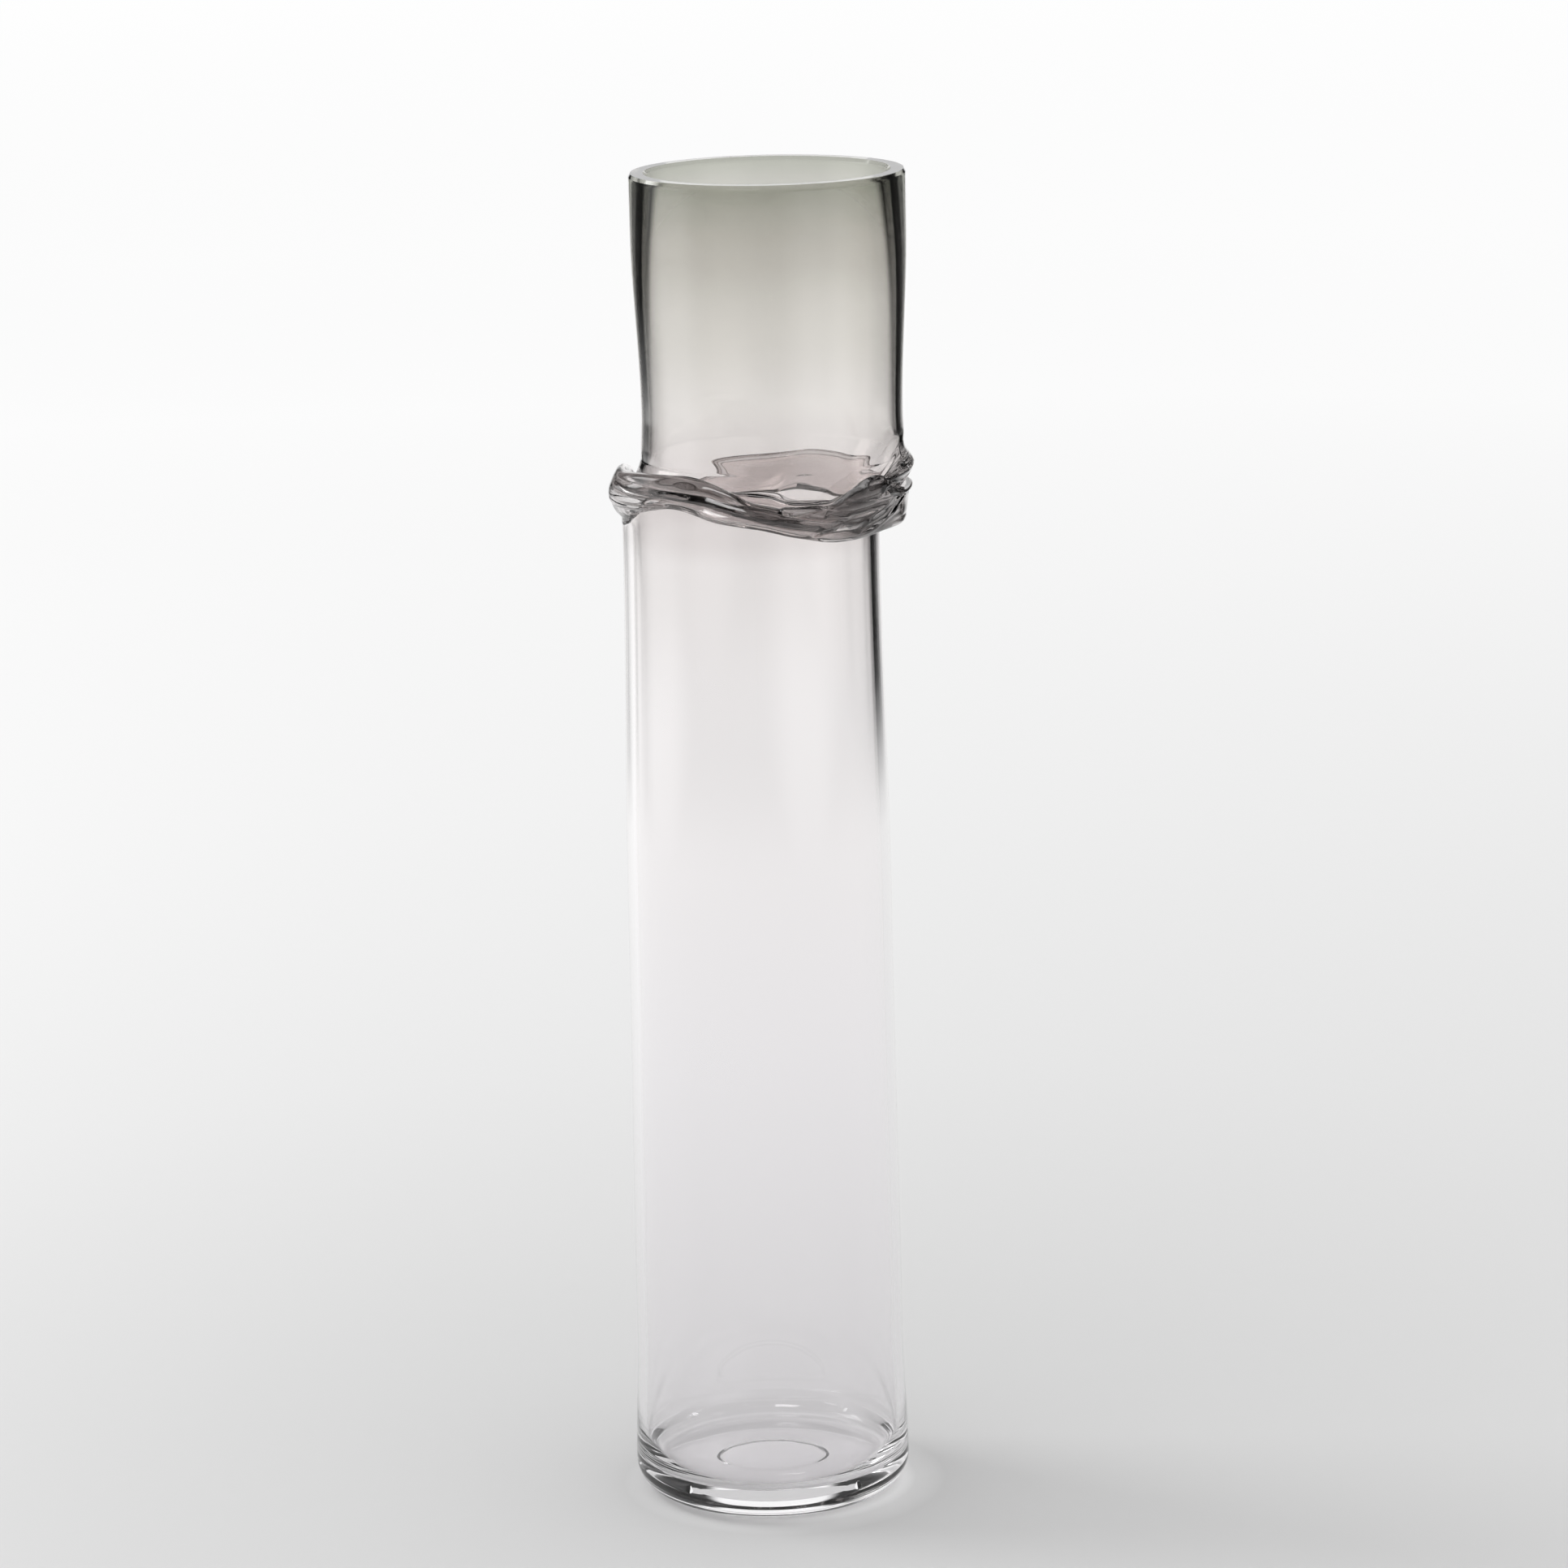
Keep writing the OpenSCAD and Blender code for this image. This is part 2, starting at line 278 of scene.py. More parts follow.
def fold_controls(angle):
    """Control points of the wall's middle line through the collar, as (points, radius or height, angle)."""
    wobble = (WAVER * np.sin(np.radians(5 * angle + 40))
              + SMALL_WAVER * np.sin(np.radians(11 * angle + 15)))
    top = COLLAR_Z + round_collar(FOLD_TOP, angle) + LIP_WAVER * wobble
    low = COLLAR_Z + round_collar(FOLD_BOTTOM, angle) + wobble
    core = (NECK_R + HEM_R) / 2
    outer_top = core + round_collar(BULGE_TOP, angle) + wobble - FOLD_WALL / 2
    outer_low = core + round_collar(BULGE_LOW, angle) + wobble - FOLD_WALL / 2
    hang = np.clip(round_collar(HANG, angle), 0, 1)
    roll = np.clip(round_collar(ROLL, angle), 0, 1)
    lower = np.full_like(angle, NECK_R - LOWER_WALL / 2)
    upper = np.full_like(angle, HEM_R - UPPER_WALL / 2)
    middle = (outer_top + upper) / 2
    notch = np.minimum(outer_low, outer_top) - NOTCH_DEEP
    reach = np.minimum(REACH, REACH_SHARE * (top - low))

    hanging = [
        (lower, low + 2.0), (lower + 0.5, low + 4.4), (lower + 2.2, low + 5.2),
        (mix(lower, outer_low, 0.60), low + 3.6), (mix(lower, outer_low, 0.80), low + 0.6),
        (outer_low - 0.7, low - 0.9), (outer_low + 0.4, low + 1.0),
        (mix(outer_low, outer_top, 0.3), mix(low, top, 0.33)),
        (mix(outer_low, outer_top, 0.7), mix(low, top, 0.62)),
    ]
    slanting = [
        (lower, low - 1.0), (lower + 0.3, low + 0.8), (lower + 1.2, low + 2.0), (lower + 2.4, low + 3.3),
        (mix(lower, outer_top, 0.5), low + 5.0), (mix(lower, outer_top, 0.68), low + 7.0),
        (mix(lower, outer_top, 0.83), low + 9.0), (mix(lower, outer_top, 0.95), mix(low, top, 0.54)),
        (outer_top, mix(low, top, 0.68)),
    ]
    rolled = [
        (outer_top - 0.1, top - 0.32 * reach), (outer_top - 0.4, top - 0.2), (outer_top - 1.5, top + 0.9),
        (middle + 0.3, top - 0.2), (middle, top - 0.32 * reach), (middle - 0.1, top - 0.65 * reach),
        (middle - 0.6, top - 0.9 * reach), (mix(middle, upper, 0.6), top - reach),
        (upper - 0.1, top - 0.88 * reach), (upper, top - 0.6 * reach),
    ]
    flared = [
        (outer_low - 0.4, low + 11.0), (notch, NOTCH_Z - 0.8), (notch + 0.2, NOTCH_Z + 1.0),
        (outer_top - 0.2, top - 1.6), (outer_top + 0.3, top), (mix(outer_top, upper, 0.25), top + 1.5),
        (mix(outer_top, upper, 0.5), top + 3.0), (mix(outer_top, upper, 0.76), top + 4.6),
        (mix(outer_top, upper, 0.94), top + 6.4), (upper, top + 8.5),
    ]
    rows = []
    for t in (0.0, 0.34, 0.67):
        z = mix(PATH_LOW_Z, low - 1.5, t)
        rows.append((lower_outer(z) - LOWER_WALL / 2, z))
    rows += [(mix(s[0], h[0], hang), mix(s[1], h[1], hang)) for s, h in zip(slanting, hanging)]
    rows += [(mix(f[0], r[0], roll), mix(f[1], r[1], roll)) for f, r in zip(flared, rolled)]
    for t in (0.12, 0.34, 0.56, 0.78, 1.0):
        z = mix(top + mix(8.8, -0.3 * reach, roll), PATH_HIGH_Z, t)
        rows.append((np.where(z < COLLAR_HIGH_Z, upper, upper_outer(z) - upper_wall(z) / 2), z))
    return np.array([[r, z] for r, z in rows])


def fold_path(angle):
    """The wall's middle line through the collar at each angle: radius, height, half its wall, and the
    relief that stands on its outside."""
    controls = fold_controls(angle)
    basis = spline_basis(len(controls), PATH_SAMPLES)
    radius = (basis @ controls[:, 0, :]).T
    height = (basis @ controls[:, 1, :]).T
    share = np.linspace(0.0, 1.0, PATH_SAMPLES)
    half = along(HALF_WALL, share)
    relief = fold_relief(angle, height, share)
    return radius, height, np.broadcast_to(half, radius.shape), relief


def fold_relief(angle, height, share):
    """How far the glass stands out from the wall, at each angle and place on the path."""
    band = np.clip(round_collar(BAND, angle), 0, 1)[:, None] * along(BAND_SHARE, share)
    from_parting = height - (COLLAR_Z + round_collar(PARTING, angle))[:, None]
    parted = 1.0 - np.exp(-(from_parting / GROOVE_WIDE) ** 2)
    strands = np.abs(np.cos(from_parting * math.pi / STRAND_GAP + STRAND_TURN))
    relief = band * (GROOVE_DEEP * parted + STRAND_HIGH * strands)
    relief = relief + PLEAT_HIGH * ridges(angle[:, None], height - COLLAR_Z) * along(PLEAT_SHARE, share)
    bead = np.clip(round_collar(BEAD, angle), 0, 1)[:, None] * along(BEAD_SHARE, share)
    return relief + BEAD_HIGH * bead


def ridges(angle, height):
    """Height, 0 to 1, of the pinched ridges at each angle and height on the collar."""
    total = np.zeros(np.broadcast(angle, height).shape)
    for pleat in PLEATS:
        nearest = np.full(total.shape, 1e9)
        for (a0, z0), (a1, z1) in zip(pleat, pleat[1:]):
            along_x, along_z = (a1 - a0) * MM_PER_DEGREE, z1 - z0
            x, z = (angle - a0) * MM_PER_DEGREE, height - z0
            t = np.clip((x * along_x + z * along_z) / (along_x ** 2 + along_z ** 2), 0, 1)
            nearest = np.minimum(nearest, (x - t * along_x) ** 2 + (z - t * along_z) ** 2)
        total = np.maximum(total, np.exp(-nearest / PLEAT_WIDE ** 2))
    return total


def offset_sides(radius, height, half, relief):
    """The two faces of a wall whose middle line, half thickness and outside relief are given."""
    dr = np.gradient(radius, axis=1)
    dz = np.gradient(height, axis=1)
    length = np.hypot(dr, dz)
    nr, nz = dz / length, -dr / length
    outside = half + relief
    return (radius + nr * outside, height + nz * outside), (radius - nr * half, height - nz * half)


def crisp(corners, ease_off=0.05):
    """Points along an outline whose corners stay sharp when the mesh is shaded smooth."""
    points = [corners[0]]
    for start, end in zip(corners, corners[1:]):
        a, b = np.array(start), np.array(end)
        step = (b - a) / np.linalg.norm(b - a) * ease_off
        points += [a + step, (a + b) / 2, b - step, b]
    return np.array(points)


# ---- Meshes ----

def glass_object(name, points, faces, nodes):
    mesh = bpy.data.meshes.new(name)
    mesh.from_pydata([tuple(p) for p in points], [], faces)
    mesh.validate()
    mesh.polygons.foreach_set("use_smooth", [True] * len(mesh.polygons))
    piece = bpy.data.objects.new(name, mesh)
    SCENE.collection.objects.link(piece)
    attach(piece, BODY)
    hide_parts(*nodes)
    return piece


def ring_mesh(x, radius, height):
    """Points and faces of a surface round the vase, from profiles (turns, samples) that close on
    themselves and stay clear of the axis. Angles go round from the right."""
    turns, samples = radius.shape
    angle = np.arange(turns) * 2 * math.pi / turns
    points = np.stack([x + radius * np.cos(angle)[:, None], radius * np.sin(angle)[:, None], height],
                      axis=2)
    faces = []
    for j in range(turns):
        k = (j + 1) % turns
        for i in range(samples):
            n = (i + 1) % samples
            faces.append((j * samples + i, k * samples + i, k * samples + n, j * samples + n))
    return points.reshape(-1, 3) * MM, faces


def disc_mesh(x, radius, height):
    """As ring_mesh, for profiles that start and end on the axis."""
    turns, samples = radius.shape
    angle = np.arange(turns) * 2 * math.pi / turns
    inner = slice(1, samples - 1)
    body = np.stack([x + radius[:, inner] * np.cos(angle)[:, None],
                     radius[:, inner] * np.sin(angle)[:, None],
                     height[:, inner]], axis=2).reshape(-1, 3)
    poles = np.array([[x, 0, height[0, 0]], [x, 0, height[0, -1]]])
    m = samples - 2
    start, end = turns * m, turns * m + 1
    faces = []
    for j in range(turns):
        k = (j + 1) % turns
        faces.append((start, k * m, j * m))
        for i in range(m - 1):
            faces.append((j * m + i, k * m + i, k * m + i + 1, j * m + i + 1))
        faces.append((end, j * m + m - 1, k * m + m - 1))
    return np.concatenate([body, poles]) * MM, faces


# ---- Glass ----

GLASS_IOR = 1.5
# Colour of the glass at each height in millimetres
TINT = [(0, (0.985, 0.975, 0.985)), (150, (0.992, 0.982, 0.990)), (300, (0.985, 0.972, 0.972)),
        (366, (0.970, 0.950, 0.945)), (378, (0.870, 0.838, 0.832)), (400, (0.870, 0.842, 0.836)),
        (416, (0.930, 0.912, 0.895)), (452, (0.850, 0.835, 0.805)), (482, (0.735, 0.720, 0.682)),
        (497, (0.640, 0.635, 0.590)), (508, (0.540, 0.548, 0.490))]
# Places where the folded glass is coloured deeper, partly for its gathered glass and partly as painted shade
# for the dark that the folds refract: centre and reach in millimetres, and the factor on the colour
GATHERED_AND_SHADED_SPOTS = [((44, -34, 389), 30, 0.46), ((0, -54, 386), 48, 0.84), ((-46, -28, 390), 34, 0.84)]
# Share of a spot's reach inside which its colour is deepest
SPOT_CORE = 0.3
# Relief in millimetres over which the folded glass turns from pale to dark, and the darkest factor: painted
# shade along the raised strands, pleats and bead, for the dark lines that the folds refract
STREAK_FROM = 1.2
STREAK_TO = 2.0
STREAK_SHADE_DEPTH = 0.35


def glass_material(name, tint, gathered_and_shaded_spots=()):
    """Clear blown glass. tint is [(height in mm, colour)], and the spots argument the places [(centre, reach,
    factor)] where folded glass is deeper in colour, partly for its gathered glass and partly as painted
    shade. Folded glass is also painted darker along the streaks given in a mesh attribute, as painted shade."""
    material = bpy.data.materials.new(name)
    material.use_nodes = True
    nodes, links = material.node_tree.nodes, material.node_tree.links
    shader = nodes["Principled BSDF"]
    shader.inputs["Transmission Weight"].default_value = 1.0
    shader.inputs["Roughness"].default_value = 0.0
    shader.inputs["IOR"].default_value = GLASS_IOR
    place = nodes.new("ShaderNodeNewGeometry")
    split = nodes.new("ShaderNodeSeparateXYZ")
    links.new(place.outputs["Position"], split.inputs[0])
    stretch = nodes.new("ShaderNodeMapRange")
    low, high = tint[0][0] * MM, tint[-1][0] * MM
    stretch.inputs["From Min"].default_value = low
    stretch.inputs["From Max"].default_value = high
    links.new(split.outputs["Z"], stretch.inputs["Value"])
    ramp = colour_ramp(nodes, [((z * MM - low) / (high - low), colour) for z, colour in tint])
    ramp.color_ramp.interpolation = "EASE"
    links.new(stretch.outputs["Result"], ramp.inputs["Fac"])
    colour = ramp.outputs["Color"]
    # Painted shade on the folded glass: darker along its streaks and round its gathered spots
    if gathered_and_shaded_spots:
        painted_streak_shade = nodes.new("ShaderNodeAttribute")
        painted_streak_shade.attribute_name = "painted_streak_shade"
        colour = deepen(nodes, links, painted_streak_shade.outputs["Fac"], (0.0, 1.0), (1.0, STREAK_SHADE_DEPTH), colour)
    for centre, reach, depth in gathered_and_shaded_spots:
        colour = darken_near(nodes, links, place.outputs["Position"], colour, centre, reach, depth)
    links.new(colour, shader.inputs["Base Color"])
    return material


def colour_ramp(nodes, stops):
    """A colour ramp through stops [(place from 0 to 1, colour), ...]."""
    ramp = nodes.new("ShaderNodeValToRGB")
    while len(ramp.color_ramp.elements) < len(stops):
        ramp.color_ramp.elements.new(0.5)
    for element, (place, colour) in zip(ramp.color_ramp.elements, stops):
        element.position = place
        element.color = (*colour, 1.0)
    return ramp


def darken_near(nodes, links, position, colour, centre, reach, depth):
    """The colour made deeper round a place where the glass is gathered: partly the gathered glass's own
    colour, partly painted shade.
    """
    away = nodes.new("ShaderNodeVectorMath")
    away.operation = "DISTANCE"
    away.inputs[1].default_value = [c * MM for c in centre]
    links.new(position, away.inputs[0])
    across = (SPOT_CORE * reach * MM, reach * MM)
    return deepen(nodes, links, away.outputs["Value"], across, (depth, 1.0), colour)


def deepen(nodes, links, value, value_range, factor_range, colour):
    """The colour times a factor, which eases through factor_range as value goes through its own range."""
    fade = nodes.new("ShaderNodeMapRange")
    fade.interpolation_type = "SMOOTHSTEP"
    fade.inputs["From Min"].default_value, fade.inputs["From Max"].default_value = value_range
    fade.inputs["To Min"].default_value, fade.inputs["To Max"].default_value = factor_range
    links.new(value, fade.inputs["Value"])
    product = nodes.new("ShaderNodeVectorMath")
    product.operation = "SCALE"
    links.new(colour, product.inputs[0])
    links.new(fade.outputs["Result"], product.inputs["Scale"])
    return product.outputs["Vector"]


def all_round(values):
    """The same profile at every angle."""
    return np.broadcast_to(np.asarray(values, float), (TURNS, len(values)))


def stretch(values, start, end):
    """A stretch of the path's samples, whose last one stops just short of the next stretch."""
    last = mix(values[:, end], values[:, end - 1], CUT_GAP)[:, None]
    return np.concatenate([values[:, start:end], last], axis=1)


def loop(outside, inside):
    """A closed profile: up the outside of a wall and back down its inside."""
    return np.concatenate([outside, inside[:, ::-1]], axis=1)


def make_lower_glass(outer, inner, cut):
    """Lower tube and foot: from the underside's middle, over the heel, up, and down the inside."""
    dish = np.concatenate([np.linspace(0.0, PUNTY_R - PUNTY_EDGE, 12),
                           np.linspace(PUNTY_R - 0.9 * PUNTY_EDGE, PUNTY_R + 0.1, 9)])
    dome = 1 - PUNTY_DOME * (dish / PUNTY_R) ** 2
    dish_z = PUNTY_DEEP * dome * (1 - ease((dish - PUNTY_R + PUNTY_EDGE) / PUNTY_EDGE))
    heel = np.radians(np.linspace(-90, 0, 22))
    rise_z = np.linspace(HEEL_R + 1.5, PATH_LOW_Z - 1.0, 70)
    outside_r = np.concatenate([dish, FOOT_R - HEEL_R + HEEL_R * np.cos(heel), lower_outer(rise_z)])
    outside_z = np.concatenate([dish_z, HEEL_R + HEEL_R * np.sin(heel), rise_z])

    cove_top = FLOOR_Z + COVE_H
    fall_z = np.linspace(PATH_LOW_Z - 1.0, cove_top, 60)
    cove = np.radians(np.linspace(84, 0, 18))
    floor_r = float(lower_outer(cove_top)) - LOWER_WALL - COVE_W
    floor_flat = np.linspace(floor_r - 1.5, 0.0, 14)
    inside_r = np.concatenate([lower_outer(fall_z) - LOWER_WALL, floor_r + COVE_W * np.sin(cove),
                               floor_flat])
    inside_z = np.concatenate([fall_z, FLOOR_Z + COVE_H * (1 - np.cos(cove)),
                               np.full(len(floor_flat), FLOOR_Z)])

    r, z = [np.concatenate([all_round(outside), loop(stretch(out, 0, cut), stretch(inn, 0, cut)),
                            all_round(inside)], axis=1)
            for outside, out, inn, inside in ((outside_r, outer[0], inner[0], inside_r),
                                              (outside_z, outer[1], inner[1], inside_z))]
    points, faces = disc_mesh(LOWER_X, r, z)
    return glass_object("lower_glass", points, faces, ["foot", "lower_tube"])


def make_folded_collar(outer, inner, relief, cut_low, cut_high):
    """The folded wall between the two cuts."""
    r, z = [loop(stretch(out, cut_low, cut_high), stretch(inn, cut_low, cut_high))
            for out, inn in zip(outer, inner)]
    points, faces = ring_mesh(collar_x(z), r, z)
    collar = glass_object("folded_collar", points, faces,
                          ["collar_core", "left_loop", "back_fold", "back_bead", "front_upper_fold",
                           "front_lower_fold", "right_outer_fold", "right_hook_pleat",
                           "right_upper_pleat"])
    # Painted shade: the folded glass is coloured darker where its relief stands high, along the strands,
    # pleats and bead
    streaks = ease((stretch(relief, cut_low, cut_high) - STREAK_FROM) / (STREAK_TO - STREAK_FROM))
    painted_streak_shade = np.concatenate([streaks, np.zeros_like(streaks)], axis=1)
    layer = collar.data.attributes.new("painted_streak_shade", "FLOAT", "POINT")
    layer.data.foreach_set("value", painted_streak_shade.ravel())
    return collar


def make_upper_glass(outer, inner, cut):
    """Upper tube with its cut rim."""
    bevel_z = RIM_Z - RIM_BEVEL_H
    rise_z = np.linspace(PATH_HIGH_Z + 1.0, bevel_z, 70)
    rise_r = upper_outer(rise_z)
    fall_z = rise_z[::-1]
    fall_r = rise_r[::-1] - upper_wall(fall_z)
    rim = crisp([(rise_r[-1], bevel_z), (RIM_R - RIM_BEVEL, RIM_Z), (fall_r[0] + RIM_BEVEL, RIM_Z),
                 (fall_r[0], bevel_z)])
    r, z = [np.concatenate([out[:, cut:], all_round(rise[:-1]), all_round(over), all_round(fall[1:]),
                            inn[:, cut:][:, ::-1]], axis=1)
            for out, rise, over, fall, inn in ((outer[0], rise_r, rim[:, 0], fall_r, inner[0]),
                                               (outer[1], rise_z, rim[:, 1], fall_z, inner[1]))]
    points, faces = ring_mesh(np.where(z > COLLAR_HIGH_Z, UPPER_X, collar_x(z)), r, z)
    return glass_object("upper_glass", points, faces, ["upper_tube"])


def make_glass():
    angle = np.arange(TURNS) * 360.0 / TURNS
    radius, height, half, relief = fold_path(angle)
    outer, inner = offset_sides(radius, height, half, relief)
    cut_low = int(LOWER_CUT * PATH_SAMPLES)
    cut_high = int(UPPER_CUT * PATH_SAMPLES)
    tube_glass = glass_material("blown_glass", TINT)
    fold_glass = glass_material("folded_glass", TINT, GATHERED_AND_SHADED_SPOTS)
    lower = make_lower_glass(outer, inner, cut_low)
    collar = make_folded_collar(outer, inner, relief, cut_low, cut_high)
    upper = make_upper_glass(outer, inner, cut_high)
    for piece in (lower, upper):
        piece.data.materials.append(tube_glass)
    collar.data.materials.append(fold_glass)


make_glass()


# ---- Floor, light and camera ----

# The paper lies this far under the foot, in metres, so that the two faces don't coincide
FLOOR_GAP = 0.0004
FLOOR_RADIUS = 14.0
# Painted light and shade on the paper from the middle outwards, as (share of SHADE_REACH in metres, grey). It
# is painted bright under the foot, for light that comes through the glass, and mid grey round the vase,
# lightening to white in the distance: painted shade that fades outwards.
SHADE_REACH = 8.0
PAINTED_FLOOR_SHADES = [(0.0, 0.98), (0.0056, 0.98), (0.0066, 0.60), (0.03, 0.62), (0.075, 0.69), (0.145, 0.76),
          (0.24, 0.85), (0.34, 0.93), (0.48, 0.96), (1.0, 1.0)]
# Painted glow: the paper under the foot is made to glow, standing in for the light that the foot's glass
# gathers onto it, out to these distances in metres
PAINTED_GLOW_UNDER_FOOT = 0.15
GLOW_FULL_TO = 0.046
GLOW_NONE_FROM = 0.051


def make_floor():
    """A wide round floor of paper, with painted light and shade, and a painted glow under the foot."""
    bpy.ops.mesh.primitive_circle_add(vertices=96, radius=FLOOR_RADIUS, fill_type="NGON",
                                      location=(0, 0, -FLOOR_GAP))
    floor = bpy.context.object
    floor.name = "floor"
    material = bpy.data.materials.new("floor_paper")
    material.use_nodes = True
    nodes, links = material.node_tree.nodes, material.node_tree.links
    shader = nodes["Principled BSDF"]
    shader.inputs["Roughness"].default_value = 0.9
    shader.inputs["Specular IOR Level"].default_value = 0.0
    place = nodes.new("ShaderNodeNewGeometry")
    length = nodes.new("ShaderNodeVectorMath")
    length.operation = "LENGTH"
    links.new(place.outputs["Position"], length.inputs[0])
    spread = nodes.new("ShaderNodeMapRange")
    spread.inputs["From Max"].default_value = SHADE_REACH
    links.new(length.outputs["Value"], spread.inputs["Value"])
    # Painted light and shade: the paper's grey by distance from the vase
    ramp = colour_ramp(nodes, [(share, (grey, grey, grey)) for share, grey in PAINTED_FLOOR_SHADES])
    links.new(spread.outputs["Result"], ramp.inputs["Fac"])
    links.new(ramp.outputs["Color"], shader.inputs["Base Color"])
    # Painted light: the paper glows under the foot, fading out at its edge
    painted_glow = nodes.new("ShaderNodeMapRange")
    painted_glow.inputs["From Min"].default_value = GLOW_FULL_TO
    painted_glow.inputs["From Max"].default_value = GLOW_NONE_FROM
    painted_glow.inputs["To Min"].default_value = PAINTED_GLOW_UNDER_FOOT
    painted_glow.inputs["To Max"].default_value = 0.0
    links.new(length.outputs["Value"], painted_glow.inputs["Value"])
    shader.inputs["Emission Color"].default_value = (1.0, 1.0, 1.0, 1.0)
    links.new(painted_glow.outputs["Result"], shader.inputs["Emission Strength"])
    floor.data.materials.append(material)


DOME_RADIUS = 1.05
DOME_STEPS = (240, 72)
# Openings in the dome, through which the glass shows the bright floor and backdrop behind it. Each as:
# direction, half width that is clear, half width that is shut (degrees), top and fade (metres). The first two
# face the main camera, the rest face a viewer at the side, at the back and at the front right.
WINDOWS = [(90, 14, 20, 0.66, 0.16), (90, 19, 26, 0.15, 0.08), (180, 8, 38, 0.60, 0.12),
           (315, 8, 42, 0.38, 0.14), (135, 10, 27, 0.19, 0.11)]
# The dome is open below the first height and shut from LOW_FADE above it (metres)
LOW_OPEN = 0.02
LOW_FADE = 0.11
# Softboxes: direction, elevation, half width and half height (degrees), brightness; and their soft edge
SOFTBOXES = [(250, 56, 7, 5, 9.0), (158, 44, 8, 6, 4.0)]
SOFT_EDGE = 2.5
DARK = 0.012


def dome_light(azimuth, elevation, height):
    """How solid the dark surround is in each direction, and how bright: the softboxes glow in it."""
    clear = np.zeros_like(azimuth)
    for middle, open_half, shut_half, top, fade in WINDOWS:
        away = np.abs((azimuth - middle + 180.0) % 360.0 - 180.0)
        beside = 1.0 - ease((away - open_half) / (shut_half - open_half))
        clear = np.maximum(clear, beside * (1.0 - ease((height - top) / fade)))
    low = 1.0 - ease((height - LOW_OPEN) / LOW_FADE)
    solid = 1.0 - np.maximum(clear, low)
    glow = np.full_like(azimuth, DARK)
    for middle, rise, half_wide, half_high, power in SOFTBOXES:
        away = np.abs((azimuth - middle + 180.0) % 360.0 - 180.0) * np.cos(np.radians(rise))
        above = np.abs(elevation - rise)
        inside = (1.0 - ease((away - half_wide) / SOFT_EDGE)) * (1.0 - ease((above - half_high) / SOFT_EDGE))
        glow = np.maximum(glow, power * inside)
    return solid, glow


def make_dome():
    """The dark studio round the set, with its softboxes. Only the glass sees it, so that the floor
    and backdrop stay plain while the glass has the dark and bright lines that studio light gives it."""
    across, up = DOME_STEPS
    azimuth = np.arange(across) * 360.0 / across
    elevation = np.linspace(0.0, 90.0, up)
    az, el = np.meshgrid(azimuth, elevation)
    el_r, az_r = np.radians(el), np.radians(az)
    points = np.stack([np.cos(el_r) * np.cos(az_r), np.cos(el_r) * np.sin(az_r), np.sin(el_r)], axis=2)
    points = (points * DOME_RADIUS).reshape(-1, 3)
    faces = []
    for i in range(up - 1):
        for j in range(across):
            k = (j + 1) % across
            faces.append((i * across + j, i * across + k, (i + 1) * across + k, (i + 1) * across + j))
    mesh = bpy.data.meshes.new("dome")
    mesh.from_pydata([tuple(p) for p in points], [], faces)
    solid, glow = dome_light(az.ravel(), el.ravel(), points[:, 2])
    for name, values in (("solid", solid), ("glow", glow)):
        layer = mesh.attributes.new(name, "FLOAT", "POINT")
        layer.data.foreach_set("value", values)
    dome = bpy.data.objects.new("dome", mesh)
    SCENE.collection.objects.link(dome)
    mesh.materials.append(dome_cloth())
    only_for_glass(dome)


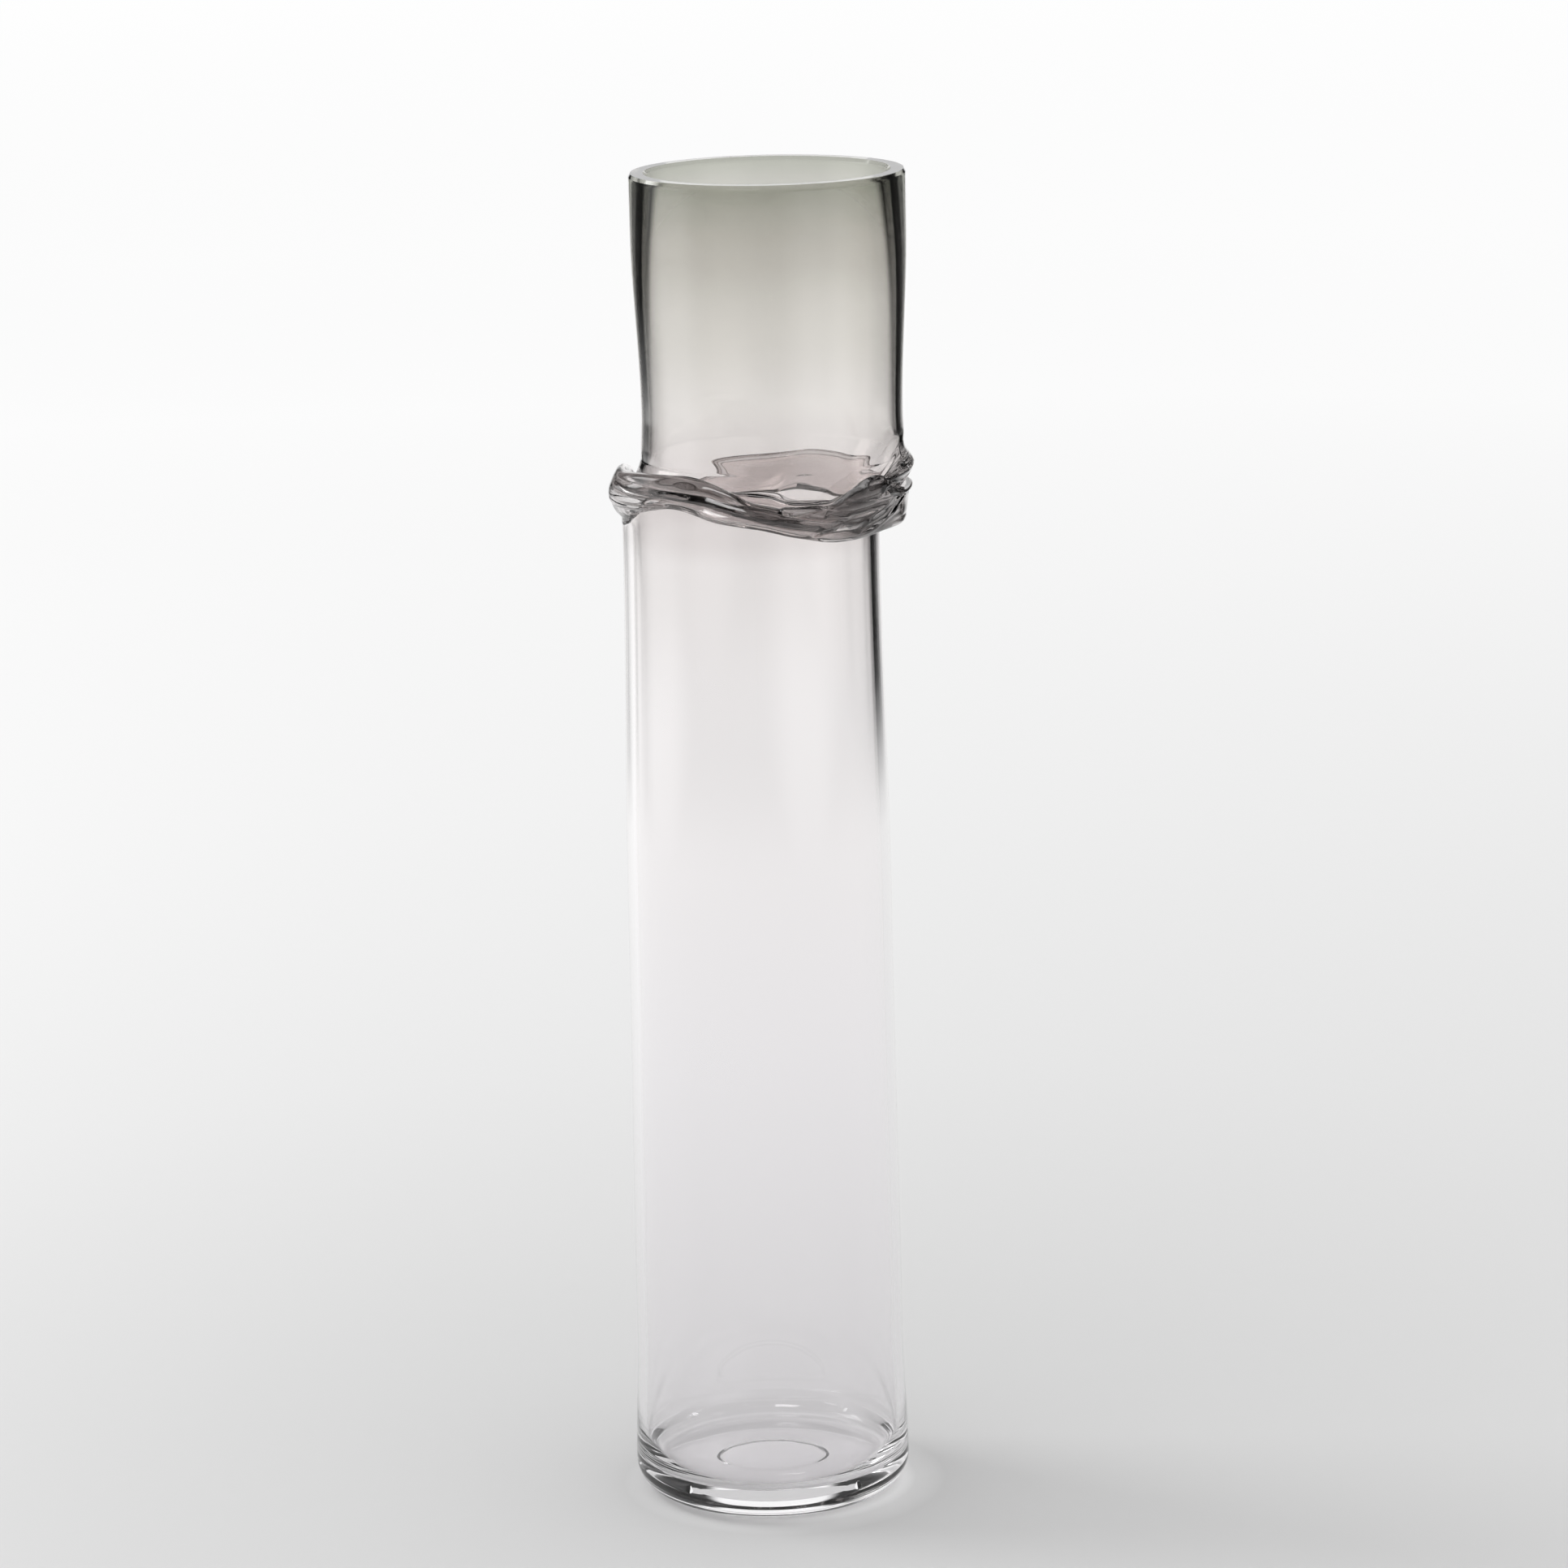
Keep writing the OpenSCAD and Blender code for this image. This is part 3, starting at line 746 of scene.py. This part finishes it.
def dome_cloth():
    """Emission where the dome is solid, and clear where it is open or for light that comes off the floor."""
    material = bpy.data.materials.new("dome_cloth")
    material.use_nodes = True
    nodes, links = material.node_tree.nodes, material.node_tree.links
    nodes.clear()
    output = nodes.new("ShaderNodeOutputMaterial")
    blend = nodes.new("ShaderNodeMixShader")
    emission = nodes.new("ShaderNodeEmission")
    open_air = nodes.new("ShaderNodeBsdfTransparent")
    solid_value = nodes.new("ShaderNodeAttribute")
    solid_value.attribute_name = "solid"
    glow_value = nodes.new("ShaderNodeAttribute")
    glow_value.attribute_name = "glow"
    path = nodes.new("ShaderNodeLightPath")
    before_floor = nodes.new("ShaderNodeMath")
    before_floor.operation = "LESS_THAN"
    before_floor.inputs[1].default_value = 0.5
    links.new(path.outputs["Diffuse Depth"], before_floor.inputs[0])
    amount = nodes.new("ShaderNodeMath")
    amount.operation = "MULTIPLY"
    links.new(before_floor.outputs[0], amount.inputs[0])
    links.new(solid_value.outputs["Fac"], amount.inputs[1])
    links.new(glow_value.outputs["Fac"], emission.inputs["Strength"])
    links.new(amount.outputs[0], blend.inputs["Fac"])
    links.new(open_air.outputs[0], blend.inputs[1])
    links.new(emission.outputs[0], blend.inputs[2])
    links.new(blend.outputs[0], output.inputs["Surface"])
    material.cycles.emission_sampling = "NONE"
    return material


def only_for_glass(stage_piece):
    """Keeps a stage piece out of the camera's view, and out of the floor's light and shadow."""
    stage_piece.visible_camera = False
    stage_piece.visible_diffuse = False
    stage_piece.visible_shadow = False


KEY_PLACE = (-1.6, 0.6, 1.6)
KEY_TARGET = (0, 0, 0.2)
KEY_SIZE = 0.9
KEY_POWER = 14.0


def make_light():
    world = bpy.data.worlds.new("studio")
    SCENE.world = world
    world.use_nodes = True
    world.node_tree.nodes["Background"].inputs["Color"].default_value = (1.0, 1.0, 1.0, 1.0)
    world.node_tree.nodes["Background"].inputs["Strength"].default_value = 1.0
    data = bpy.data.lights.new("key", "AREA")
    data.energy = KEY_POWER
    data.size = KEY_SIZE
    lamp = bpy.data.objects.new("key", data)
    lamp.location = KEY_PLACE
    lamp.rotation_euler = (Vector(KEY_TARGET) - Vector(KEY_PLACE)).to_track_quat("-Z", "Y").to_euler()
    SCENE.collection.objects.link(lamp)


# Camera in metres, degrees and millimetres of lens. It stands CAMERA_SIDE to the right of the lower tube.
CAMERA_BACK = 2.009
CAMERA_HEIGHT = 0.7355
CAMERA_SIDE = 0.0101
CAMERA_PITCH = 12.88
CAMERA_ROLL = 1.29
LENS = 125.4


def make_camera():
    data = bpy.data.cameras.new("camera")
    data.lens = LENS
    data.sensor_width = 36.0
    data.clip_start, data.clip_end = 0.1, 100.0
    camera = bpy.data.objects.new("camera", data)
    tilt = Matrix.Rotation(math.radians(90 - CAMERA_PITCH), 4, "X")
    roll = Matrix.Rotation(math.radians(-CAMERA_ROLL), 4, "Z")
    place = Matrix.Translation((LOWER_X * MM + CAMERA_SIDE, -CAMERA_BACK, CAMERA_HEIGHT))
    camera.matrix_world = place @ (tilt @ roll)
    SCENE.collection.objects.link(camera)
    SCENE.camera = camera


make_floor()
make_dome()
make_light()
make_camera()
SCENE.view_settings.view_transform = "Standard"
SCENE.cycles.max_bounces = 24
SCENE.cycles.transmission_bounces = 24
SCENE.cycles.glossy_bounces = 12
